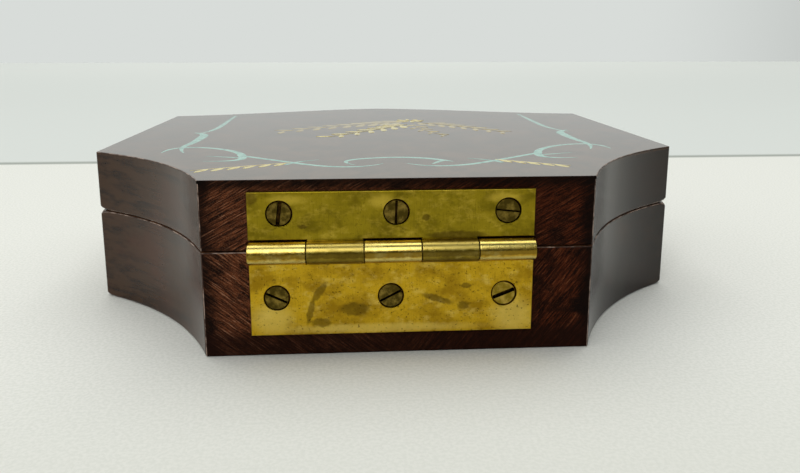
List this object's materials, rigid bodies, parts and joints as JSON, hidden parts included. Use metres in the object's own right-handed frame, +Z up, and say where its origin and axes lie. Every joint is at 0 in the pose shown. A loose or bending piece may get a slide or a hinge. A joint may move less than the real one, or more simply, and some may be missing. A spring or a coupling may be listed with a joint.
{
  "type": "hinged wooden puzzle box",
  "caption": "Small shaped wooden box with hollow corners, a serpentine front, a brass butt hinge, an inlaid lid and a hidden slide latch.",
  "frame": {"origin": "underside of the floor, at the middle of the wooden footprint", "axes": "+Z up; the hinge is on the -Y side and the serpentine front on the +Y side, so +X is to the right as seen from the hinge side"},
  "size_m": [0.125, 0.1293, 0.032],
  "materials": {
    "bare_wood": "bare, coarsely sanded",
    "lacquered_wood": "gloss lacquer",
    "veneer": "gloss lacquer over inlay",
    "plain_wood": "planed",
    "brass": "drawn, tarnished",
    "bright_brass": "drawn, worn bright",
    "screw_brass": "turned, dulled",
    "felt": "felt",
    "inlay": "gloss lacquer over dyed inlay"
  },
  "bodies": {
    "base": {"base_back_wall": "bare_wood", "base_scoop_left": "lacquered_wood", "base_scoop_right": "lacquered_wood", "base_side_left": "lacquered_wood", "base_side_right": "lacquered_wood", "base_front_wall": "lacquered_wood", "base_floor": "plain_wood", "base_lining": "felt", "base_screw_left": "screw_brass", "base_screw_middle": "screw_brass", "base_screw_right": "screw_brass", "hinge_leaf_base": "bright_brass", "hinge_pin": "brass"},
    "lid": {"lid_back_rail": "bare_wood", "lid_scoop_left": "lacquered_wood", "lid_scoop_right": "lacquered_wood", "lid_side_left": "lacquered_wood", "lid_side_right": "lacquered_wood", "lid_front_rail": "lacquered_wood", "lid_panel": "plain_wood", "lid_veneer": "veneer", "hinge_leaf_lid": "brass", "lid_screw_left": "screw_brass", "lid_screw_middle": "screw_brass", "lid_screw_right": "screw_brass", "keeper_plate": "brass", "keeper_screw_left": "screw_brass", "keeper_screw_right": "screw_brass"},
    "latch": {"latch_slide": "plain_wood", "latch_pin": "brass"}
  },
  "joints": [
    {"name": "lid_hinge", "type": "hinge", "parent": "base", "child": "lid", "pos_m": [0, -0.0643, 0.01935], "axis": [1, 0, 0], "range_deg": [0, 180]},
    {"name": "latch_travel", "type": "slide", "parent": "base", "child": "latch", "axis": [1, 0, 0], "range_m": [0, 0.006]}
  ]
}
